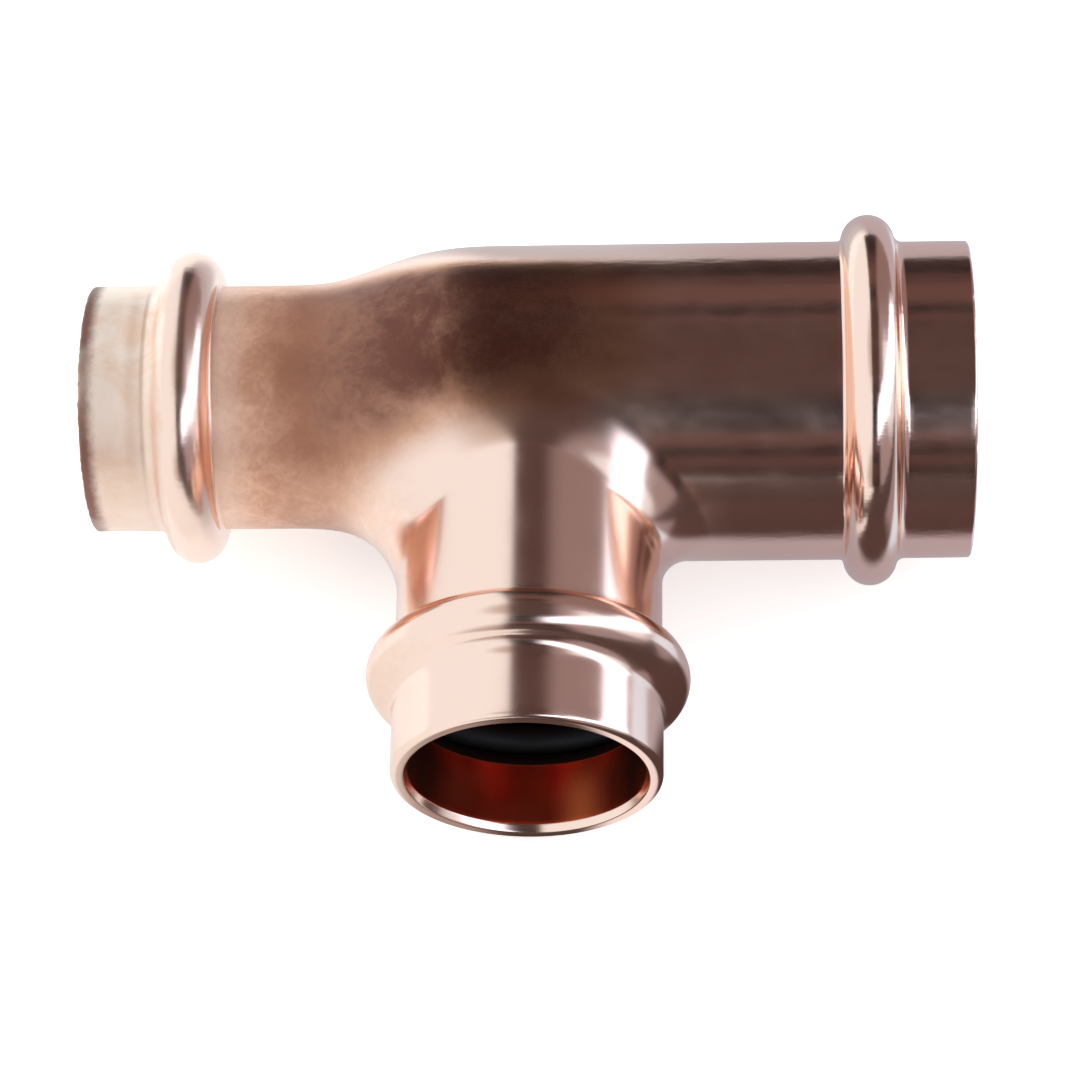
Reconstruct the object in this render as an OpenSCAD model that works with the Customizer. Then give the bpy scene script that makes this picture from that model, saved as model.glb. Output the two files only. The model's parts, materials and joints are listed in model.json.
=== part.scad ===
// Reducing press tee for copper tube: a one-piece formed body with three press
// sockets, each holding a rubber sealing ring in a raised bead.
// X runs along the straight run towards the large socket, the branch leaves
// along -Y, and the origin is where the run and branch axes cross.

/* [Tubes] */
// Outside diameter of the tube that enters the large run socket
large_tube_d = 28; // [27.5:0.1:28.2]
// Outside diameter of the tube that enters the small run socket and the branch
small_tube_d = 22; // [21.5:0.1:22.1]
// Gap between a tube and its socket wall, measured on the radius
bore_gap = 0.15; // [0.1:0.01:0.2]

/* [Body outside] */
// Outside diameter of the large barrel
large_barrel_d = 31.2; // [31:0.1:31.6]
// Outside diameter of the small end of the run
small_barrel_d = 24.0; // [23.9:0.1:24.4]
// Outside diameter of the branch neck
neck_d = 25.4; // [25:0.1:25.6]
// Outside diameter of the large socket's rim
large_rim_d = 31.0; // [30.8:0.1:31.4]
// Outside diameter of the small run socket's rim
small_rim_d = 24.2; // [24:0.1:24.5]
// Outside diameter of the branch socket's rim
branch_rim_d = 25.6; // [25.2:0.1:25.8]

/* [Lengths from the crossing] */
// Crossing to the face of the large socket
large_face = 42.7; // [42:0.1:46]
// Crossing to the face of the small run socket
small_face = 43.3; // [43:0.1:46]
// Crossing to the face of the branch socket
branch_face = 41.2; // [41:0.1:44]
// How far a tube goes in before it meets the stop
insertion = 23.5; // [23:0.1:24]

/* [Beads and seals] */
// Face of the large socket to the middle of its bead
large_bead_inset = 9.8; // [9.4:0.1:10.4]
// Face of the small run socket to the middle of its bead
small_bead_inset = 10.1; // [9.4:0.1:10.6]
// Face of the branch socket to the middle of its bead
branch_bead_inset = 10.5; // [9.8:0.1:11]
// Radius of a bead's outer arc
bead_arc = 2.6; // [2.5:0.05:2.7]
// Outside diameter of the large bead
large_bead_d = 36.4; // [36.3:0.1:36.8]
// Outside diameter of the small run bead
small_bead_d = 30.8; // [30.5:0.1:31]
// Outside diameter of the branch bead
branch_bead_d = 30.8; // [30.5:0.1:31]
// Thickness of the sealing rings' cord
seal_cord = 3.0; // [2.8:0.05:3]

/* [Junction] */
// Width of the collar's fillet towards the large socket
collar_large = 4.6; // [3.5:0.1:5]
// Width of the collar's fillet towards the small socket
collar_small = 7.6; // [6:0.1:8]
// Width of the collar's fillet at the sides of the run
collar_side = 2.0; // [1.5:0.1:2.2]

/* [Hidden] */
$fn = 96;
overlap = 0.5;

// Outside and bore radii
large_r = large_barrel_d / 2;
small_r = small_barrel_d / 2;
neck_r = neck_d / 2;
large_bore_r = large_tube_d / 2 + bore_gap;
small_bore_r = small_tube_d / 2 + bore_gap;

// The waterway past each stop is narrower than the bore by the stop's height
stop_height = 0.6;
large_way_r = large_bore_r - stop_height;
small_way_r = small_bore_r - stop_height;
large_stop = large_face - insertion;
small_stop = small_face - insertion;
branch_stop = branch_face - insertion;

// The reducer lies between these two places along the run
reducer_start = -21.8;
reducer_end = -4.8;
reducer_concave = 14.3;
inner_concave = 15.8;
inner_end = -5.2;

// Rim chamfers, bead feet and the grooves that hold the seals
rim_chamfer = 0.2;
lead_in = 0.4;
lead_depth = 0.75;
large_mouth_foot = 0.9;
small_mouth_foot = 1.4;
branch_mouth_foot = 1.8;
body_foot = 0.35;
groove_arc = 1.6;

// A seal's inner edge stands slightly into the bore, and its cord's middle is this far out from the wall
seal_proud = 0.05;
seal_reach = seal_cord / 2 - seal_proud;

// Rotations that turn a revolved profile's axis to each direction
run_turn = [0, 90, 0];
small_turn = [0, -90, 0];
branch_turn = [90, 0, 0];

// S-curve from a low radius to a high one: a concave arc, then a convex arc
function convex_arc(len, rise, concave) = (len * len + rise * rise) / (2 * rise) - concave;
function turn_place(start, end, rise, concave) =
    start + (end - start) * concave / (concave + convex_arc(end - start, rise, concave));
function s_curve(x, start, end, low, high, concave) =
    let (convex = convex_arc(end - start, high - low, concave))
    x <= start ? low
    : x <= turn_place(start, end, high - low, concave)
        ? low + concave - sqrt(pow(concave, 2) - pow(x - start, 2))
    : x < end ? high - convex + sqrt(pow(convex, 2) - pow(end - x, 2))
    : high;

// Profiles are drawn as [radius, place along the axis] and then revolved
module under(r, from, to) {
    translate([0, from]) square([r, to - from]);
}

reducer_steps = 10;
module s_outline(start, end, low, high, concave) {
    curve = [for (i = [0:reducer_steps])
        let (x = start + (end - start) * i / reducer_steps)
        [s_curve(x, start, end, low, high, concave), x]];
    polygon(concat([[0, start]], curve, [[0, end]]));
}

// Fillet between a bead and the tube wall beside it; side is 1 towards the mouth
module bead_foot(bead, bead_r, wall_r, foot, side) {
    centre_r = bead_r - bead_arc;
    rise = wall_r + foot - centre_r;
    reach = sqrt(pow(bead_arc + foot, 2) - rise * rise);
    difference() {
        polygon([
            [wall_r - overlap, bead],
            [wall_r - overlap, bead + side * reach],
            [wall_r, bead + side * reach],
            [wall_r + foot, bead + side * reach],
            [centre_r, bead]
        ]);
        translate([wall_r + foot, bead + side * reach]) circle(r = foot);
    }
}

module socket_outline(from, face, inset, wall_r, rim_r, bead_r, mouth_foot) {
    bead = face - inset;
    under(wall_r, from, bead + overlap);
    polygon([
        [0, bead - overlap],
        [rim_r, bead - overlap],
        [rim_r, face - rim_chamfer],
        [rim_r - rim_chamfer, face],
        [0, face]
    ]);
    translate([bead_r - bead_arc, bead]) circle(r = bead_arc);
    bead_foot(bead, bead_r, wall_r, body_foot, -1);
    bead_foot(bead, bead_r, rim_r, mouth_foot, 1);
}

module socket_cavity(stop, face, inset, bore_r, bead_r) {
    bead = face - inset;
    centre_r = bead_r - bead_arc;
    polygon([
        [0, stop],
        [bore_r, stop],
        [bore_r, face - lead_depth],
        [bore_r + lead_in, face],
        [bore_r + lead_in, face + overlap],
        [0, face + overlap]
    ]);
    under(centre_r, bead - groove_arc, bead + groove_arc);
    translate([centre_r, bead]) circle(r = groove_arc);
}

// Height of the run's surface above its axis, at a distance and direction from the branch axis
function run_r(x) = s_curve(x, reducer_start, reducer_end, small_r, large_r, reducer_concave);
function run_height(rho, phi) = sqrt(pow(run_r(rho * cos(phi)), 2) - pow(rho * sin(phi), 2));

// Width and height of the collar's fillet in each direction round the branch
side_lift = 1.2;
function collar_width(phi) =
    collar_side + ((cos(phi) > 0 ? collar_large : collar_small) - collar_side) * pow(cos(phi), 2);
function collar_height(phi) = collar_width(phi) + side_lift * pow(sin(phi), 2);

function bezier(p, t) =
    pow(1 - t, 3) * p[0] + 3 * t * pow(1 - t, 2) * p[1] + 3 * t * t * (1 - t) * p[2] + pow(t, 3) * p[3];

// The fillet's curve from the neck to the run, as [distance from branch axis, height]
collar_skin = 0.02;
collar_pull = 0.56;
function collar_curve(phi, t) =
    let (
        w = collar_width(phi),
        h = collar_height(phi),
        foot = neck_r + w,
        top = run_height(neck_r, phi) + h,
        land = run_height(foot, phi),
        step = 0.05,
        slope = (run_height(foot + step, phi) - run_height(foot - step, phi)) / (2 * step)
    )
    bezier([
        [neck_r + collar_skin, top],
        [neck_r + collar_skin, top - collar_pull * h],
        [foot - collar_pull * w, land + collar_skin - slope * collar_pull * w],
        [foot, land + collar_skin]
    ], t);

// Past each end of the curve the collar turns down steeply into the neck and the run
collar_bite = 0.5;
function collar_start(phi) = [neck_r - collar_bite, run_height(neck_r, phi) + collar_height(phi) + collar_bite];
function collar_end(phi) =
    let (foot = neck_r + collar_width(phi))
    [foot, run_height(foot, phi) - collar_bite];

// Closed solid that flares the neck into the run
collar_floor = 4;
collar_columns = 96;
collar_rows = 8;
module collar() {
    phis = [for (i = [0:collar_columns - 1]) 360 * i / collar_columns];
    curves = [for (phi = phis) concat(
        [collar_start(phi)],
        [for (k = [0:collar_rows]) collar_curve(phi, k / collar_rows)],
        [collar_end(phi)]
    )];
    rings = collar_rows + 3;
    n = collar_columns;
    rows = [for (k = [0:rings - 1]) for (i = [0:n - 1])
        [curves[i][k][0] * cos(phis[i]), -curves[i][k][1], curves[i][k][0] * sin(phis[i])]];
    points = concat(rows, [[0, -collar_start(90)[1], 0], [0, -collar_floor, 0]]);
    cap = n * rings;
    faces = concat(
        [for (k = [0:rings - 2]) for (i = [0:n - 1])
            let (a = k * n + i, b = k * n + (i + 1) % n) each [[a, b, a + n], [b, b + n, a + n]]],
        [for (i = [0:n - 1]) [(i + 1) % n, i, cap]],
        [for (i = [0:n - 1]) let (k = n * (rings - 1)) [k + i, k + (i + 1) % n, cap + 1]]
    );
    polyhedron(points = points, faces = faces, convexity = 6);
}

module body_outside() {
    rotate(run_turn) rotate_extrude() {
        s_outline(reducer_start, reducer_end, small_r, large_r, reducer_concave);
        socket_outline(reducer_end, large_face, large_bead_inset,
            large_r, large_rim_d / 2, large_bead_d / 2, large_mouth_foot);
    }
    rotate(small_turn) rotate_extrude()
        socket_outline(-reducer_start, small_face, small_bead_inset,
            small_r, small_rim_d / 2, small_bead_d / 2, small_mouth_foot);
    rotate(branch_turn) rotate_extrude()
        socket_outline(0, branch_face, branch_bead_inset,
            neck_r, branch_rim_d / 2, branch_bead_d / 2, branch_mouth_foot);
    collar();
}

module body_inside() {
    rotate(run_turn) rotate_extrude() {
        under(small_way_r, -small_stop - overlap, -small_stop + overlap);
        s_outline(-small_stop, inner_end, small_way_r, large_way_r, inner_concave);
        under(large_way_r, inner_end, large_stop + overlap);
        socket_cavity(large_stop, large_face, large_bead_inset, large_bore_r, large_bead_d / 2);
    }
    rotate(small_turn) rotate_extrude()
        socket_cavity(small_stop, small_face, small_bead_inset, small_bore_r, small_bead_d / 2);
    rotate(branch_turn) rotate_extrude() {
        under(small_way_r, 0, branch_stop + overlap);
        socket_cavity(branch_stop, branch_face, branch_bead_inset, small_bore_r, branch_bead_d / 2);
    }
}

module tee_body() {
    color("peru") difference() {
        body_outside();
        body_inside();
    }
}

module seal(ring_r, bead) {
    color("#1c1c1e") rotate_extrude() translate([ring_r, bead]) circle(r = seal_cord / 2);
}

module o_ring_run_large() {
    rotate(run_turn) seal(large_bore_r + seal_reach, large_face - large_bead_inset);
}

module o_ring_run_small() {
    rotate(small_turn) seal(small_bore_r + seal_reach, small_face - small_bead_inset);
}

module o_ring_branch() {
    rotate(branch_turn) seal(small_bore_r + seal_reach, branch_face - branch_bead_inset);
}

tee_body();
o_ring_run_large();
o_ring_run_small();
o_ring_branch();
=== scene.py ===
import bpy
import bmesh
import json
from math import asin, atan2, cos, degrees, exp, pi, radians, sin, sqrt, tau
from mathutils import Matrix, Vector, noise


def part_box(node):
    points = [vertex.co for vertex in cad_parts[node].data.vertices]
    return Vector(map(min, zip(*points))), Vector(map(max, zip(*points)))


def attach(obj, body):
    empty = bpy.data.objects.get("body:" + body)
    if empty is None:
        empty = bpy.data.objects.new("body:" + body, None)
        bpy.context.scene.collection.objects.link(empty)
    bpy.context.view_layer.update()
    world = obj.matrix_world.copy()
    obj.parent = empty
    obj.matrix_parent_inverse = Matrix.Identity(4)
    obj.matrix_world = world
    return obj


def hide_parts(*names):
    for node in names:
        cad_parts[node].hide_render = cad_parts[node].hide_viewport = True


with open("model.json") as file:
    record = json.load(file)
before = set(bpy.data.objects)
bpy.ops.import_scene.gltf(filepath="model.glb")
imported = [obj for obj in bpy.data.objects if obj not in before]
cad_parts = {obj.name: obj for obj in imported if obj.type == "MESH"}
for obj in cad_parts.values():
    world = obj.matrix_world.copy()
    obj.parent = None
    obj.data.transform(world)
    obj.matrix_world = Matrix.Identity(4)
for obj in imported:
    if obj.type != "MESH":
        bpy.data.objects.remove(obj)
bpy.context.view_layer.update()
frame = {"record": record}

MM = 0.001

# ---------------------------------------------------------------- dimensions, in millimetres
body_low, body_high = (Vector(corner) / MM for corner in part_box("tee_body"))
mounts = {m["name"]: m for m in frame["record"]["mounts"]}


def ring_middle(node, axis):
    """How far a sealing ring's middle lies from the crossing of the axes."""
    low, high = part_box(node)
    return abs(low[axis] + high[axis]) / 2 / MM


def ring_outside(node):
    """Outside radius of a sealing ring; every ring stands upright, so its height is its diameter."""
    low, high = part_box(node)
    return (high[2] - low[2]) / 2 / MM


def ring_cord(node, axis):
    low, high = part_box(node)
    return (high[axis] - low[axis]) / MM


LARGE_BORE = mounts["large_socket"]["dims"]["r_mm"]
SMALL_BORE = mounts["small_socket"]["dims"]["r_mm"]
CORD = ring_cord("o_ring_branch", 1)

LARGE_R = 15.6
SMALL_R = 12.0
NECK_R = 12.7
SMALL_BEAD_R = 15.4  # the small run bead and the branch bead
STOP_HEIGHT = 0.6
LARGE_WAY = LARGE_BORE - STOP_HEIGHT
SMALL_WAY = SMALL_BORE - STOP_HEIGHT
INSERTION = 23.5
BEAD_ARC = 2.6
GROOVE_ARC = 1.6
BODY_FOOT = 0.4      # fillet between a bead and the neck or run behind it
LEAD_IN = 0.4        # how much wider a socket's mouth is than its bore, on the radius
LEAD_DEPTH = 0.75
REDUCER_START, REDUCER_END = -21.8, -4.8
RIDGE_WIDTH = 0.8
WEAR_DEPTH = 0.6     # rim wear reaches this far in from a face
SKIN = 0.04          # the looks stay this far inside the design's outer surfaces


class Socket:
    """One press socket: how far out its parts lie along its axis, and their radii."""

    def __init__(self, face, bead, bead_r, wall_r, rim_r, bore_r, way_r, edge, mouth_foot, ridges=()):
        self.face = face - SKIN
        self.bead = bead
        self.bead_r = bead_r - SKIN
        self.wall_r = wall_r
        self.rim_r = rim_r
        self.bore_r = bore_r
        self.way_r = way_r
        self.edge = edge
        self.mouth_foot = mouth_foot
        self.ridges = ridges
        self.stop = face - INSERTION


# A ridge is a place past the bead's middle and a height
LARGE = Socket(face=body_high.x, bead=ring_middle("o_ring_run_large", 0), bead_r=body_high.z,
               wall_r=LARGE_R, rim_r=15.5, bore_r=LARGE_BORE, way_r=LARGE_WAY,
               edge=0.3, mouth_foot=0.9)
SMALL = Socket(face=-body_low.x, bead=ring_middle("o_ring_run_small", 0), bead_r=SMALL_BEAD_R,
               wall_r=SMALL_R, rim_r=12.1, bore_r=SMALL_BORE, way_r=SMALL_WAY,
               edge=0.25, mouth_foot=1.4, ridges=((3.7, 0.07), (5.3, 0.04)))
BRANCH = Socket(face=-body_low.y, bead=ring_middle("o_ring_branch", 1), bead_r=SMALL_BEAD_R,
                wall_r=NECK_R, rim_r=12.8, bore_r=SMALL_BORE, way_r=SMALL_WAY,
                edge=0.6, mouth_foot=1.8)
SOCKETS = (SMALL, LARGE, BRANCH)


# ---------------------------------------------------------------- profiles
def s_curve(x, start, end, low, high, concave):
    """Radius along the reducer: a concave arc off the low radius, then a convex arc onto the high one."""
    length, rise = end - start, high - low
    convex = (length * length + rise * rise) / (2 * rise) - concave
    turn = start + length * concave / (concave + convex)
    if x <= start:
        return low
    if x <= turn:
        return low + concave - sqrt(concave ** 2 - (x - start) ** 2)
    if x < end:
        return high - convex + sqrt(convex ** 2 - (end - x) ** 2)
    return high


def outer_run(x):
    """The reducer's outside, averaged over a few millimetres so that mirrored light flows over its ends."""
    offsets = (-2.4, -1.6, -0.8, 0.0, 0.8, 1.6, 2.4)
    radii = [s_curve(x + d, REDUCER_START, REDUCER_END, SMALL_R, LARGE_R, 14.3) for d in offsets]
    return sum(radii) / len(offsets)


def inner_run(x):
    return s_curve(x, -SMALL.stop, -5.2, SMALL_WAY, LARGE_WAY, 15.8)


def line(a, b, step):
    """Points from a up to, not including, b."""
    (r0, s0), (r1, s1) = a, b
    n = max(1, round(sqrt((r1 - r0) ** 2 + (s1 - s0) ** 2) / step))
    return [(r0 + (r1 - r0) * k / n, s0 + (s1 - s0) * k / n) for k in range(n)]


def arc(centre, radius, start, end, n):
    """Points on an arc, in degrees from the outward radius towards the mouth, end not included."""
    cr, cs = centre
    turns = [radians(start + (end - start) * k / n) for k in range(n)]
    return [(cr + radius * cos(t), cs + radius * sin(t)) for t in turns]


def foot(socket, wall_r, fillet):
    """Where a fillet between the bead and a wall has its centre, and the angle it meets the bead at."""
    centre_r = socket.bead_r - BEAD_ARC
    rise = wall_r + fillet - centre_r
    reach = sqrt((BEAD_ARC + fillet) ** 2 - rise ** 2)
    return (wall_r + fillet, reach), degrees(atan2(reach, rise))


def socket_outside(k, start):
    """Outer profile from a place on the neck or run, over the bead, to the rim's outer edge."""
    mouth_foot, edge = k.mouth_foot, k.edge
    (body_r, body_reach), body_angle = foot(k, k.wall_r, BODY_FOOT)
    (mouth_r, mouth_reach), mouth_angle = foot(k, k.rim_r, mouth_foot)
    centre_r = k.bead_r - BEAD_ARC
    points = line((k.wall_r, start), (k.wall_r, k.bead - body_reach), 0.7)
    points += arc((body_r, k.bead - body_reach), BODY_FOOT, 180, 180 - body_angle, 7)
    points += arc((centre_r, k.bead), BEAD_ARC, -body_angle, mouth_angle, 44)
    points += arc((mouth_r, k.bead + mouth_reach), mouth_foot, 180 + mouth_angle, 180, 9)
    plain = line((k.rim_r, k.bead + mouth_reach), (k.rim_r, k.face - edge), 0.15 if k.ridges else 0.5)
    for r, s in plain:
        rise = sum(height * exp(-((s - k.bead - place) / RIDGE_WIDTH) ** 2) for place, height in k.ridges)
        points.append((r + rise, s))
    points += arc((k.rim_r - edge, k.face - edge), edge, 0, 90, 8)
    return points


def lip(k, rounding):
    """A groove's rounded lip: the centre of its arc, and the angle where it meets the groove's own arc."""
    centre_r = k.bead_r - BEAD_ARC
    rise = k.bore_r + rounding - centre_r
    reach = sqrt((GROOVE_ARC + rounding) ** 2 - rise ** 2)
    return k.bore_r + rounding, reach, degrees(atan2(reach, rise))


def socket_rim(k):
    """The rim's face and the lead-in bevel, from the outer edge to the bore."""
    mouth = k.bore_r + LEAD_IN
    points = line((k.rim_r - k.edge, k.face), (mouth + 0.1, k.face), 0.15)
    points += arc((mouth + 0.1, k.face - 0.2), 0.2, 90, 150, 4)
    points += line((mouth - 0.08, k.face - 0.12), (k.bore_r, k.face - LEAD_DEPTH), 0.15)
    return points + [(k.bore_r, k.face - LEAD_DEPTH)]


def socket_inside(k, start, end):
    """Inner profile from the lead-in, over the seal's groove, to a place past the tube stop."""
    slope, mouth_lip, body_lip = 0.25, 1.9, 1.3
    centre_r = k.bead_r - BEAD_ARC
    mouth_r, mouth_reach, mouth_angle = lip(k, mouth_lip)
    body_r, body_reach, body_angle = lip(k, body_lip)
    points = line((k.bore_r, start), (k.bore_r, k.bead + mouth_reach), 0.5)
    points += arc((mouth_r, k.bead + mouth_reach), mouth_lip, 180, 180 + mouth_angle, 14)
    points += arc((centre_r, k.bead), GROOVE_ARC, mouth_angle, -body_angle, 24)
    points += arc((body_r, k.bead - body_reach), body_lip, 180 - body_angle, 180, 10)
    points += line((k.bore_r, k.bead - body_reach), (k.bore_r, k.stop + slope), 0.7)
    points += line((k.bore_r, k.stop + slope), (k.way_r, k.stop - slope), 0.25)
    points += line((k.way_r, k.stop - slope), (k.way_r, end), 0.7)
    return points


# ---------------------------------------------------------------- mesh of the body
SIDE = 80            # quads along each side of the patch round the branch


class Mesh:
    def __init__(self):
        self.points = []
        self.faces = []

    def ring(self, points):
        first = len(self.points)
        self.points += points
        return list(range(first, len(self.points)))

    def strip(self, a, b):
        """Quads between two closed rings of the same length."""
        n = len(a)
        self.faces += [(a[i], a[(i + 1) % n], b[(i + 1) % n], b[i]) for i in range(n)]

    def chain(self, rings):
        for a, b in zip(rings, rings[1:]):
            self.strip(a, b)


def around_run(x, r):
    """Ring of points round the run, starting straight down."""
    angles = [radians(-90 + 180 * j / SIDE) for j in range(2 * SIDE)]
    return [(x, -r * cos(t), r * sin(t)) for t in angles]


def around_branch(s, r):
    """Ring of points round the branch, starting half way between the large socket and straight down."""
    angles = [radians(-45 + 90 * i / SIDE) for i in range(4 * SIDE)]
    return [(r * cos(t), -s, r * sin(t)) for t in angles]


def bezier(p, t):
    weights = ((1 - t) ** 3, 3 * t * (1 - t) ** 2, 3 * t * t * (1 - t), t ** 3)
    return [sum(w * q[axis] for w, q in zip(weights, p)) for axis in (0, 1)]


def junction(mesh, run, neck_r, width, lift, x_low, x_high, neck_end):
    """Run and branch blended round their meeting. Returns the rings it ends in: low x, high x and branch."""

    def height(rho, phi):
        return sqrt(run(rho * cos(phi)) ** 2 - (rho * sin(phi)) ** 2)

    def collar(phi, rows):
        w = width(phi)
        h = w + lift * sin(phi) ** 2
        edge = neck_r + w
        slope = (height(edge + 0.05, phi) - height(edge - 0.05, phi)) / 0.1
        top, land, pull = height(neck_r, phi) + h, height(edge, phi), 0.56
        curve = [(edge, land), (edge - pull * w, land - slope * pull * w),
                 (neck_r, top - pull * h), (neck_r, top)]
        return [bezier(curve, k / rows) for k in range(rows + 1)]

    # Rings across the collar, across the patch on the run, and up the neck
    rows, spread, rise = 34, 28, 12
    corner = [radians(-45 + 90 * i / SIDE) for i in range(4 * SIDE)]
    curves = [collar(phi, rows) for phi in corner]

    # The patch on the run between the collar's foot and a rectangle along and round the run
    border = [(x_high, radians(-90 + 180 * j / SIDE)) for j in range(SIDE)]
    border += [(x_high + (x_low - x_high) * j / SIDE, pi / 2) for j in range(SIDE)]
    border += [(x_low, radians(90 - 180 * j / SIDE)) for j in range(SIDE)]
    border += [(x_low + (x_high - x_low) * j / SIDE, -pi / 2) for j in range(SIDE)]

    def patch(t):
        out = []
        for phi, curve, (x1, a1) in zip(corner, curves, border):
            edge = curve[0][0]
            x0 = edge * cos(phi)
            a0 = asin(edge * sin(phi) / run(x0))
            x, a = x1 + (x0 - x1) * t, a1 + (a0 - a1) * t
            out.append((x, -run(x) * cos(a), run(x) * sin(a)))
        return out

    rings = [mesh.ring(patch(1 - (1 - k / spread) ** 1.3)) for k in range(spread)]
    for k in range(rows + 1):
        rings.append(mesh.ring([(c[k][0] * cos(phi), -c[k][1], c[k][0] * sin(phi))
                                for phi, c in zip(corner, curves)]))
    tops = [c[rows][1] for c in curves]
    for k in range(1, rise + 1):
        t = k / rise
        rings.append(mesh.ring([(neck_r * cos(phi), -(s + (neck_end - s) * t), neck_r * sin(phi))
                                for phi, s in zip(corner, tops)]))
    mesh.chain(rings)

    # The far half of the run, between the rectangle's two long edges
    outer = rings[0]
    grid = [[outer[SIDE + j] for j in range(SIDE + 1)]]
    for k in range(1, SIDE):
        a = pi / 2 + pi * k / SIDE
        xs = [x_high + (x_low - x_high) * j / SIDE for j in range(SIDE + 1)]
        grid.append(mesh.ring([(x, -run(x) * cos(a), run(x) * sin(a)) for x in xs]))
    grid.append([outer[0]] + [outer[(4 * SIDE - j) % (4 * SIDE)] for j in range(1, SIDE + 1)])
    for upper, lower in zip(grid, grid[1:]):
        mesh.faces += [(upper[j], upper[j + 1], lower[j + 1], lower[j]) for j in range(SIDE)]

    high = outer[:SIDE] + [row[0] for row in grid[:-1]]
    low = [outer[3 * SIDE - j] for j in range(SIDE)] + [row[SIDE] for row in grid[:-1]]
    return low, high, rings[-1]


def collar_width(phi):
    side, wide = 2.0, 4.6 if cos(phi) > 0 else 7.6
    return side + (wide - side) * cos(phi) ** 2


def build_body():
    """The whole body's mesh, and how many of its first faces are outside ones."""
    mesh = Mesh()
    x_low, x_high, neck_end = -26.0, 22.0, 23.5
    inner_low, inner_high, inner_end = -SMALL.stop + 0.8, LARGE.stop - 0.8, BRANCH.stop - 0.8
    outside = junction(mesh, outer_run, NECK_R, collar_width, 1.2, x_low, x_high, neck_end)
    arounds = (lambda s, r: around_run(-s, r), around_run, around_branch)
    rims = []
    for socket, start, around, ring in zip(SOCKETS, (-x_low, x_high, neck_end), arounds, outside):
        profile = socket_outside(socket, start)[1:] + socket_rim(socket)
        rings = [ring] + [mesh.ring(around(s, r)) for r, s in profile]
        mesh.chain(rings)
        rims.append(rings[-1])
    outer_faces = len(mesh.faces)
    inside = junction(mesh, inner_run, SMALL_WAY, lambda phi: 0.7, 0.0, inner_low, inner_high, inner_end)
    ends = (-inner_low, inner_high, inner_end)
    for socket, end, around, rim, ring in zip(SOCKETS, ends, arounds, rims, inside):
        profile = socket_inside(socket, socket.face - LEAD_DEPTH, end)[1:]
        mesh.chain([rim] + [mesh.ring(around(s, r)) for r, s in profile] + [ring])
    return mesh, outer_faces


def wear_rims(mesh):
    """Saw marks on the small end's rim and a few small nicks in the large one's."""
    for k, (x, y, z) in enumerate(mesh.points):
        if x < -SMALL.face + WEAR_DEPTH:
            cut = 0.10 * (1 + noise.noise((y * 1.6, z * 1.6, 0))) + 0.05 * noise.noise((y * 6, z * 6, 4))
            mesh.points[k] = (x + max(0.0, cut) * (1 - (x + SMALL.face) / WEAR_DEPTH), y, z)
        elif x > LARGE.face - WEAR_DEPTH:
            nick = max(0.0, noise.noise((y * 0.9, z * 0.9, 8)) - 0.35)
            mesh.points[k] = (x - 0.9 * nick * (1 - (LARGE.face - x) / WEAR_DEPTH), y, z)


def to_object(name, mesh):
    data = bpy.data.meshes.new(name)
    data.from_pydata([Vector(p) * MM for p in mesh.points], [], mesh.faces)
    work = bmesh.new()
    work.from_mesh(data)
    bmesh.ops.remove_doubles(work, verts=work.verts, dist=1e-6)
    bmesh.ops.recalc_face_normals(work, faces=work.faces)
    work.to_mesh(data)
    work.free()
    for polygon in data.polygons:
        polygon.use_smooth = True
    piece = bpy.data.objects.new(name, data)
    bpy.context.scene.collection.objects.link(piece)
    return piece


body_mesh, outer_faces = build_body()
wear_rims(body_mesh)
body = to_object("copper_body", body_mesh)
for polygon in body.data.polygons:
    polygon.material_index = 0 if polygon.index < outer_faces else 1
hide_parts("tee_body")
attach(body, "root")


# ---------------------------------------------------------------- sealing rings
def seal(name, node, around, place):
    """Rubber ring with the fine moulding line that runs round its inner and outer edge."""
    mesh = Mesh()
    ring_r = ring_outside(node) - CORD / 2
    cord_r, line_height, sides = CORD / 2 - SKIN, 0.03, 36
    rings = []
    for k in range(sides):
        t = tau * k / sides
        flash = line_height if k in (0, sides // 2) else 0
        rings.append(mesh.ring(around(place + (cord_r + flash) * sin(t), ring_r + (cord_r + flash) * cos(t))))
    mesh.chain(rings + rings[:1])
    piece = to_object(name, mesh)
    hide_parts(node)
    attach(piece, "root")
    return piece


seals = [
    seal("seal_run_large", "o_ring_run_large", around_run, LARGE.bead),
    seal("seal_run_small", "o_ring_run_small", around_run, -SMALL.bead),
    seal("seal_branch", "o_ring_branch", around_branch, BRANCH.bead),
]


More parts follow.
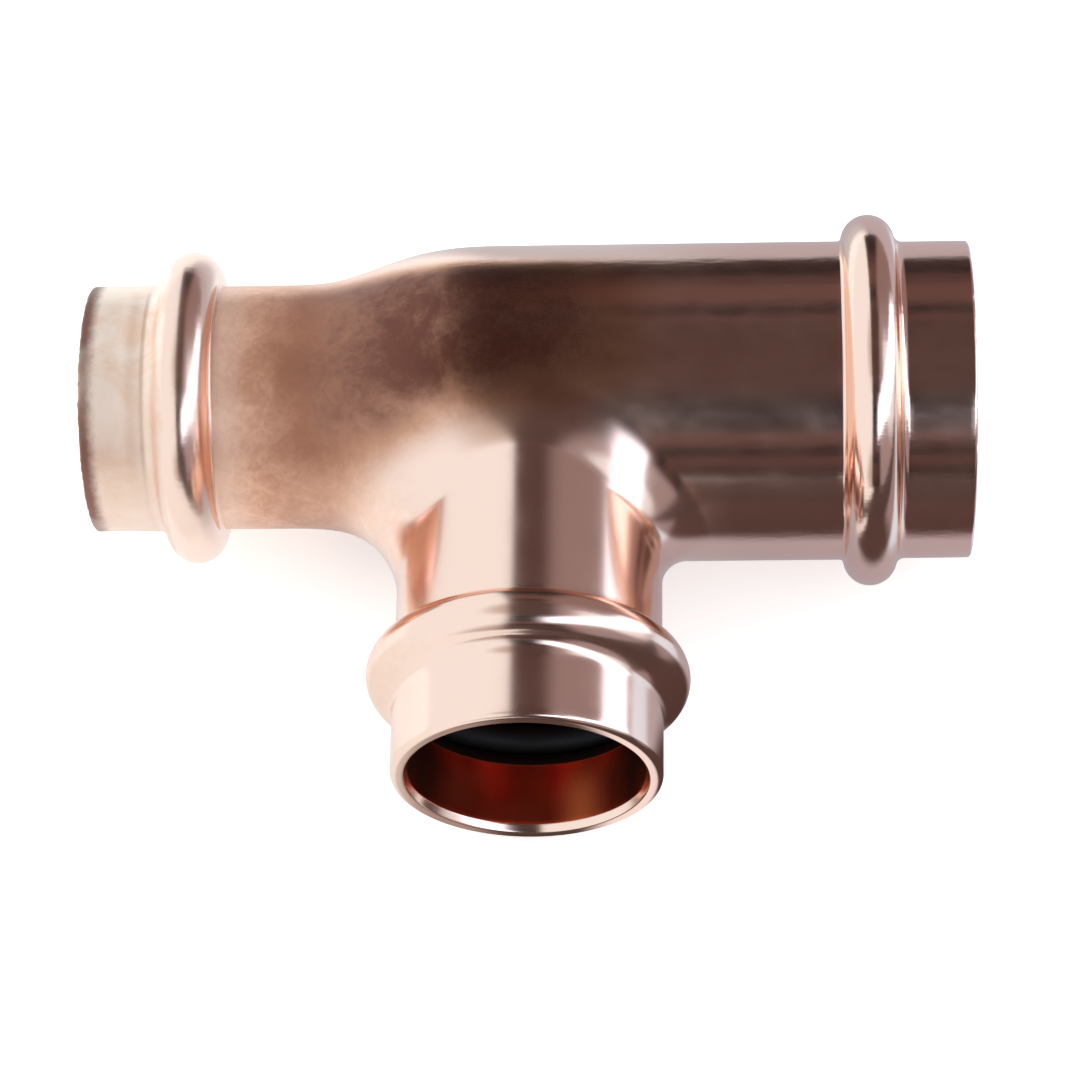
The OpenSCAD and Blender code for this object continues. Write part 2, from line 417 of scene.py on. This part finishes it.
# ---------------------------------------------------------------- node helpers
class Nodes:
    """Short calls that add shader nodes to a material's or the world's tree."""

    def __init__(self, tree):
        self.tree = tree

    def add(self, kind, **settings):
        node = self.tree.nodes.new(kind)
        for key, value in settings.items():
            setattr(node, key, value)
        return node

    def put(self, socket, value):
        if isinstance(value, bpy.types.NodeSocket):
            self.tree.links.new(value, socket)
        else:
            socket.default_value = value

    def math(self, operation, a, b=0.0, clamp=False):
        node = self.add("ShaderNodeMath", operation=operation, use_clamp=clamp)
        self.put(node.inputs[0], a)
        self.put(node.inputs[1], b)
        return node.outputs[0]

    def smooth(self, value, low, high):
        """0 below low, 1 above high, or the other way round where low is the larger."""
        node = self.add("ShaderNodeMapRange", interpolation_type="SMOOTHSTEP")
        self.put(node.inputs["Value"], value)
        flip = low > high
        self.put(node.inputs["From Min"], min(low, high))
        self.put(node.inputs["From Max"], max(low, high))
        self.put(node.inputs["To Min"], 1.0 if flip else 0.0)
        self.put(node.inputs["To Max"], 0.0 if flip else 1.0)
        return node.outputs["Result"]

    def times(self, *values):
        out = values[0]
        for value in values[1:]:
            out = self.math("MULTIPLY", out, value)
        return out

    def away(self, a, b):
        """Distance between two numbers."""
        return self.math("ABSOLUTE", self.math("SUBTRACT", a, b))

    def vary(self, value, pattern, amount):
        """The value, moved up and down by a pattern that runs from 0 to 1."""
        return self.math("ADD", value, self.times(self.math("SUBTRACT", pattern, 0.5), amount))

    def millimetres(self, place):
        return self.vector("MULTIPLY", place, (1000, 1000, 1000))

    def mix(self, factor, a, b):
        node = self.add("ShaderNodeMix", data_type="RGBA")
        self.put(node.inputs[0], factor)
        self.put(node.inputs[6], a if isinstance(a, bpy.types.NodeSocket) else (*a, 1))
        self.put(node.inputs[7], b if isinstance(b, bpy.types.NodeSocket) else (*b, 1))
        return node.outputs[2]

    def blend(self, factor, a, b):
        node = self.add("ShaderNodeMix", data_type="FLOAT")
        self.put(node.inputs[0], factor)
        self.put(node.inputs[2], a)
        self.put(node.inputs[3], b)
        return node.outputs[0]

    def split(self, vector):
        node = self.add("ShaderNodeSeparateXYZ")
        self.put(node.inputs[0], vector)
        return node.outputs[0], node.outputs[1], node.outputs[2]

    def join(self, x, y, z):
        node = self.add("ShaderNodeCombineXYZ")
        for socket, value in zip(node.inputs, (x, y, z)):
            self.put(socket, value)
        return node.outputs[0]

    def vector(self, operation, a, b):
        node = self.add("ShaderNodeVectorMath", operation=operation)
        self.put(node.inputs[0], a)
        self.put(node.inputs[1], b)
        return node.outputs["Value" if operation == "DOT_PRODUCT" else "Vector"]

    def noise(self, vector, scale, detail=4.0, roughness=0.5, distortion=0.0):
        node = self.add("ShaderNodeTexNoise")
        for key, value in zip(("Vector", "Scale", "Detail", "Roughness", "Distortion"),
                              (vector, scale, detail, roughness, distortion)):
            self.put(node.inputs[key], value)
        return node.outputs["Fac"]

    def bump(self, height, strength, distance, normal=None):
        node = self.add("ShaderNodeBump")
        self.put(node.inputs["Strength"], strength)
        self.put(node.inputs["Distance"], distance)
        self.put(node.inputs["Height"], height)
        if normal is not None:
            self.put(node.inputs["Normal"], normal)
        return node.outputs["Normal"]


def new_material(name):
    material = bpy.data.materials.new(name)
    material.use_nodes = True
    return material, Nodes(material.node_tree), material.node_tree.nodes["Principled BSDF"]


# ---------------------------------------------------------------- copper
def copper_outside():
    """Bright drawn copper, with brown haze over the reducer and a dull pale left end."""
    material, n, shader = new_material("copper_outside")
    place = n.millimetres(n.add("ShaderNodeTexCoord").outputs["Object"])
    x, y, z = n.split(place)

    # Direction square to the run, so that drawing lines follow the run
    run_r = n.math("MAXIMUM", n.math("SQRT", n.math("ADD", n.times(y, y), n.times(z, z))), 1.0)
    along_run = n.join(n.times(x, 0.02), n.math("DIVIDE", y, run_r), n.math("DIVIDE", z, run_r))
    near_branch = n.times(n.smooth(y, -6.0, -11.0), n.smooth(n.math("ABSOLUTE", x), 21.0, 17.0))
    on_run = n.times(n.smooth(y, -19.0, -17.0), n.math("SUBTRACT", 1.0, near_branch))

    cloud = n.noise(place, 0.09, 3.0, 0.5, 0.4)
    blotch = n.noise(place, 0.16, 7.0, 0.68, 0.5)
    swirl = n.noise(place, 0.9, 6.0, 0.7, 1.0)
    streak = n.noise(along_run, 7.0, 5.0, 0.6)
    hair = n.noise(along_run, 60.0, 3.0, 0.6)

    # Brown haze over the reducer and the middle, and a matt tan film on the small tube
    sagging = n.math("ADD", y, n.math("MAXIMUM", n.times(n.math("ADD", x, 6.0), -0.3), 0.0))
    across = n.times(n.smooth(sagging, -13.0, -3.0), n.smooth(y, 9.5, 5.5))
    reach = n.times(n.smooth(x, -33.0, -12.0), n.smooth(x, 20.0, -2.0), across)
    mottle = n.math("ADD", n.times(n.smooth(blotch, 0.35, 0.65), 0.22),
                    n.times(n.smooth(swirl, 0.3, 0.7), 0.10))
    haze = n.times(reach, n.math("ADD", mottle, 0.74))
    wavy = n.vary(x, blotch, 16.0)
    film = n.times(n.smooth(wavy, -9.0, -25.0), n.smooth(x, -30.7, -30.1))
    dull = n.smooth(n.vary(x, cloud, 1.6), -34.5, -35.0)

    bright, tan, brown = (0.94, 0.645, 0.515), (0.62, 0.31, 0.195), (0.17, 0.062, 0.042)
    thin_brown, burnt_brown = (0.42, 0.18, 0.105), (0.19, 0.065, 0.045)
    saw_dark, saw_bright = (0.16, 0.06, 0.03), (0.62, 0.32, 0.18)
    matt = n.math("MAXIMUM", dull, film)
    uneven_film = n.blend(0.4, n.smooth(blotch, 0.34, 0.66), n.smooth(swirl, 0.35, 0.65))
    patina = n.mix(uneven_film, (0.92, 0.55, 0.39), (0.66, 0.33, 0.205))
    patina = n.mix(n.times(n.smooth(x, -26.0, -29.6), 0.4), patina, (0.92, 0.70, 0.57))
    colour = n.mix(film, bright, patina)
    colour = n.mix(n.smooth(haze, 0.0, 0.5), colour, n.mix(film, tan, thin_brown))
    colour = n.mix(n.smooth(haze, 0.3, 1.0), colour, brown)
    smear_and_shade = n.mix(n.smooth(blotch, 0.40, 0.66), (1.0, 0.84, 0.72), (0.93, 0.66, 0.49))
    # Painted shade: the dull left end grows darker towards the front, -y.
    smear_and_shade = n.mix(n.times(n.smooth(y, 0.0, -12.0), 0.6), smear_and_shade, (0.68, 0.45, 0.34))
    colour = n.mix(dull, colour, smear_and_shade)
    uneven = n.vary(x, swirl, 0.9)
    burnt = n.times(n.smooth(uneven, 1.9 - SMALL.face, 0.6 - SMALL.face), n.smooth(cloud, 0.2, 0.5))
    colour = n.mix(n.times(burnt, 0.92), colour, burnt_brown)
    cut = n.smooth(uneven, 0.28 - SMALL.face, 0.12 - SMALL.face)
    colour = n.mix(cut, colour, n.mix(swirl, saw_dark, saw_bright))
    rough = n.blend(haze, n.blend(on_run, 0.18, 0.165), 0.30)
    rough = n.blend(n.smooth(x, -30.2, -30.8), rough, 0.24)
    rough = n.vary(n.vary(rough, streak, 0.08), blotch, 0.15)
    n.put(shader.inputs["Base Color"], colour)
    n.put(shader.inputs["Roughness"], n.blend(matt, rough, 0.42))
    n.put(shader.inputs["Metallic"], n.math("SUBTRACT", 1.0, n.times(matt, 0.45)))
    shader.inputs["Specular Tint"].default_value = (1.0, 0.94, 0.90, 1)

    # Hair scratches are thin level lines of slow noises
    curls = n.noise(place, 0.22, 2.0, 0.5, 1.2)
    loops = n.noise(n.vector("ADD", place, (31, 7, 15)), 0.5, 2.0, 0.5, 2.0)
    scratch = n.math("MAXIMUM", n.smooth(n.away(curls, 0.47), 0.0035, 0.0),
                     n.smooth(n.away(loops, 0.53), 0.006, 0.0))
    scratch = n.times(scratch, n.smooth(swirl, 0.5, 0.65))
    lines = n.times(n.smooth(streak, 0.3, 0.7), on_run)
    normal = n.bump(lines, 0.2, 0.00006)
    normal = n.bump(n.times(hair, on_run), 0.08, 0.00002, normal)
    normal = n.bump(n.times(scratch, -1.0), 0.06, 0.00002, normal)
    normal = n.bump(swirl, n.times(n.math("MAXIMUM", haze, film), 0.06), 0.00006, normal)
    n.put(shader.inputs["Normal"], normal)
    return material


def copper_inside():
    """Inside copper painted darker and redder as shade standing in for light bounced round the bore, with a
    painted highlight streak and painted shade on the branch's sides and in the grooves.
    """
    material, n, shader = new_material("copper_inside")
    place = n.millimetres(n.add("ShaderNodeTexCoord").outputs["Object"])
    x, y, _ = n.split(place)
    cloud = n.noise(place, 0.25, 3.0, 0.5, 0.5)
    grain = n.noise(place, 3.0, 4.0, 0.6)
    beads = ((x, -SMALL.bead), (x, LARGE.bead), (y, -BRANCH.bead))
    # Painted shade in the grooves: over each seal's groove the copper turns near black, dull and not
    # metallic.
    grooves = [n.smooth(n.away(along, middle), 3.6, 3.3) for along, middle in beads]
    painted_groove_shade = n.math("MAXIMUM", n.math("MAXIMUM", grooves[0], grooves[1]), grooves[2])
    # Painted shade: the inside is a darker, redder copy of the copper, standing in for light bounced round
    # the bore.
    colour = n.mix(n.smooth(cloud, 0.3, 0.7), (0.64, 0.07, 0.032), (0.70, 0.11, 0.05))
    # Painted highlight: a brighter, less metallic orange streak on the branch's inner wall near its mouth.
    painted_highlight_streak = n.times(n.smooth(n.away(x, 4.7), 3.4, 0.0), n.smooth(y, -33.0, -38.0))
    colour = n.mix(painted_highlight_streak, colour, (1.0, 0.23, 0.08))
    # Painted shade: the branch's inner wall goes dark towards its sides near the mouth.
    painted_side_shade = n.times(n.smooth(n.math("ABSOLUTE", x), 6.8, 10.2), n.smooth(y, -28.0, -30.0))
    colour = n.mix(painted_side_shade, colour, (0.13, 0.035, 0.02))
    n.put(shader.inputs["Base Color"], n.mix(painted_groove_shade, colour, (0.012, 0.008, 0.007)))
    n.put(shader.inputs["Roughness"], n.blend(painted_groove_shade, n.blend(cloud, 0.16, 0.26), 0.4))
    n.put(shader.inputs["Metallic"], n.times(n.math("SUBTRACT", 1.0, painted_groove_shade), n.blend(painted_highlight_streak, 0.86, 0.6)))
    shader.inputs["Specular IOR Level"].default_value = 0.1
    n.put(shader.inputs["Normal"], n.bump(grain, 0.1, 0.00003))
    return material


def rubber():
    material, n, shader = new_material("seal_rubber")
    place = n.millimetres(n.add("ShaderNodeTexCoord").outputs["Object"])
    grain = n.noise(place, 6.0, 4.0, 0.6)
    film = n.noise(place, 0.5, 3.0, 0.5)
    n.put(shader.inputs["Base Color"], n.mix(grain, (0.006, 0.006, 0.007), (0.014, 0.014, 0.015)))
    n.put(shader.inputs["Roughness"], n.blend(film, 0.42, 0.66))
    shader.inputs["Specular IOR Level"].default_value = 0.25
    n.put(shader.inputs["Normal"], n.bump(grain, 0.2, 0.00003))
    return material


body.data.materials.append(copper_outside())
body.data.materials.append(copper_inside())
rubber_material = rubber()
for piece in seals:
    piece.data.materials.append(rubber_material)

# ---------------------------------------------------------------- floor, camera, light
large_low = Vector((LARGE.bead, 0, -LARGE.bead_r))
small_low = Vector((-SMALL.bead, 0, -SMALL.bead_r))
branch_low = Vector((0, -BRANCH.bead, -BRANCH.bead_r))
up = (large_low - small_low).cross(branch_low - small_low)
up = -up.normalized() if up.z < 0 else up.normalized()
bpy.ops.mesh.primitive_plane_add(size=6)
floor = bpy.context.object
floor.name = "floor"
floor.rotation_mode = "QUATERNION"
floor.rotation_quaternion = up.to_track_quat("Z", "Y")
floor.location = (large_low + small_low + branch_low) / 3 * MM - up * 0.0001


def paper():
    """White paper that glows evenly to the camera; mirrored rays see it carry painted light and painted
    shade, darkest in front of the tee.
    """
    material, n, shader = new_material("paper")
    place = n.millimetres(n.add("ShaderNodeNewGeometry").outputs["Position"])
    x, y, _ = n.split(place)
    mirrored = n.add("ShaderNodeLightPath").outputs["Is Glossy Ray"]
    # Seen only by mirrored rays: painted light behind the tee, paler to the left and greyer to the right, and
    # painted light and shade in front of it, mostly dark.
    light = n.mix(n.smooth(x, -28.0, -8.0), (0.80, 0.93, 1.02), (0.42, 0.48, 0.56))
    light = n.mix(n.smooth(x, 4.0, 24.0), light, (0.36, 0.37, 0.44))
    light = n.mix(n.times(n.smooth(x, 44.0, 52.0), n.smooth(y, 60.0, 40.0)), light, (0.57, 0.75, 0.95))
    painted_light_and_shade = n.mix(n.smooth(x, -7.0, -2.0), (0.30, 0.28, 0.28), (0.06, 0.045, 0.04))
    painted_light_and_shade = n.mix(n.smooth(x, -10.0, -17.0), painted_light_and_shade, (0.70, 0.80, 0.85))
    painted_light_and_shade = n.mix(n.smooth(x, 4.0, 8.0), painted_light_and_shade, (0.75, 0.80, 0.88))
    painted_light_and_shade = n.mix(n.smooth(x, 11.0, 16.0), painted_light_and_shade, (0.06, 0.036, 0.035))
    painted_light_and_shade = n.mix(n.smooth(n.math("ADD", x, n.times(y, 0.35)), 36.0, 56.0), painted_light_and_shade, (0.24, 0.21, 0.245))
    painted_light_and_shade = n.mix(n.times(n.smooth(y, -52.0, -75.0), n.smooth(x, -20.0, -8.0)), painted_light_and_shade, (0.05, 0.032, 0.031))
    painted_light_and_shade = n.mix(n.smooth(y, -23.0, -30.0), light, painted_light_and_shade)
    # Painted light and shade for mirrored rays; to the camera and to diffuse rays the paper is evenly white
    # and glows evenly.
    n.put(shader.inputs["Base Color"], n.mix(mirrored, (0.95, 0.95, 0.95), n.mix(0.6, painted_light_and_shade, (0, 0, 0))))
    n.put(shader.inputs["Emission Color"], n.mix(mirrored, (0.5, 0.5, 0.5), painted_light_and_shade))
    shader.inputs["Emission Strength"].default_value = 1.0
    shader.inputs["Roughness"].default_value = 0.9
    shader.inputs["Specular IOR Level"].default_value = 0.1
    return material


floor.data.materials.append(paper())


def add_camera():
    """Camera at the photograph's viewing angle, looking down on the tee."""
    azimuth, elevation, roll = radians(5.25), radians(60.0), radians(-5.13)
    distance, right_shift, up_shift, lens = 385.1, 0.69, -13.36, 130.39
    back = Vector((sin(azimuth) * cos(elevation), -cos(azimuth) * cos(elevation), sin(elevation)))
    level = Vector((cos(azimuth), sin(azimuth), 0))
    rise = back.cross(level)
    right = cos(roll) * level + sin(roll) * rise
    upward = -sin(roll) * level + cos(roll) * rise
    place = (right * right_shift + upward * up_shift + back * distance) * MM
    data = bpy.data.cameras.new("camera")
    data.lens = lens
    data.sensor_width = 36
    data.clip_start = 0.01
    camera = bpy.data.objects.new("camera", data)
    camera.matrix_world = Matrix.Translation(place) @ Matrix((right, upward, back)).transposed().to_4x4()
    bpy.context.scene.collection.objects.link(camera)
    bpy.context.scene.camera = camera


add_camera()


def studio_world():
    """Even white light, and a dark room with soft boxes left and right that only mirrored rays see."""
    world = bpy.data.worlds.new("studio")
    world.use_nodes = True
    n = Nodes(world.node_tree)
    x, y, z = n.split(n.add("ShaderNodeTexCoord").outputs["Generated"])

    ceiling = (0.075, 0.047, 0.046)
    left_box, left_ceiling, front_left = (1.0, 1.16, 1.28), (0.62, 0.60, 0.58), (0.55, 0.53, 0.53)
    right_box, right_glow = (1.9, 2.3, 2.9), (0.9, 1.05, 1.2)
    right_wall, back_right = (0.36, 0.32, 0.36), (0.27, 0.205, 0.215)

    shade = n.noise(n.join(0.0, y, z), 3.0, 3.0, 0.6)
    room = n.mix(n.smooth(shade, 0.42, 0.58), (0.018, 0.011, 0.013), (0.125, 0.070, 0.067))
    room = n.mix(n.smooth(z, 0.30, 0.10), room, (0.034, 0.020, 0.020))
    colour = n.mix(n.smooth(z, 0.80, 0.97), room, ceiling)
    colour = n.mix(n.smooth(x, 0.25, 0.45), colour, right_wall)
    colour = n.mix(n.times(n.smooth(x, 0.15, 0.35), n.smooth(y, 0.3, 0.6)), colour, back_right)
    left = n.smooth(x, -0.15, -0.22)
    colour = n.mix(left, colour, n.mix(n.smooth(z, 0.80, 0.96), front_left, left_ceiling))
    box = n.times(left, n.smooth(z, 0.98, 0.84), n.smooth(y, -0.95, -0.80))
    colour = n.mix(box, colour, left_box)

    # The right soft box is a slanted strip, wide beside the tee and narrow towards the camera
    off_strip = n.math("ABSOLUTE", n.vector("DOT_PRODUCT", n.join(x, y, z), (0.345, -0.588, -0.731)))
    half_width = n.blend(n.smooth(y, -0.85, -0.35), 0.16, 0.22)
    strip = n.times(n.smooth(n.math("DIVIDE", off_strip, half_width), 1.15, 0.80), n.smooth(x, 0.1, 0.28),
                    n.smooth(y, 0.62, 0.45), n.smooth(z, -0.30, -0.10), n.smooth(z, 0.88, 0.80))
    facing = n.vector("DOT_PRODUCT", n.join(x, y, z), (0.884, -0.021, 0.468))
    colour = n.mix(n.times(n.smooth(facing, 0.84, 0.93), n.smooth(y, 0.30, 0.10)), colour, right_glow)
    colour = n.mix(strip, colour, right_box)

    path = n.add("ShaderNodeLightPath")
    mirrored = n.add("ShaderNodeBackground")
    even = n.add("ShaderNodeBackground")
    n.put(mirrored.inputs["Color"], colour)
    even.inputs["Color"].default_value = (1, 1, 1, 1)
    even.inputs["Strength"].default_value = 1.1
    chosen = n.add("ShaderNodeMixShader")
    n.put(chosen.inputs[0], path.outputs["Is Glossy Ray"])
    n.put(chosen.inputs[1], even.outputs[0])
    n.put(chosen.inputs[2], mirrored.outputs[0])
    n.put(world.node_tree.nodes["World Output"].inputs["Surface"], chosen.outputs[0])
    bpy.context.scene.world = world


studio_world()
bpy.context.scene.view_settings.view_transform = "Standard"
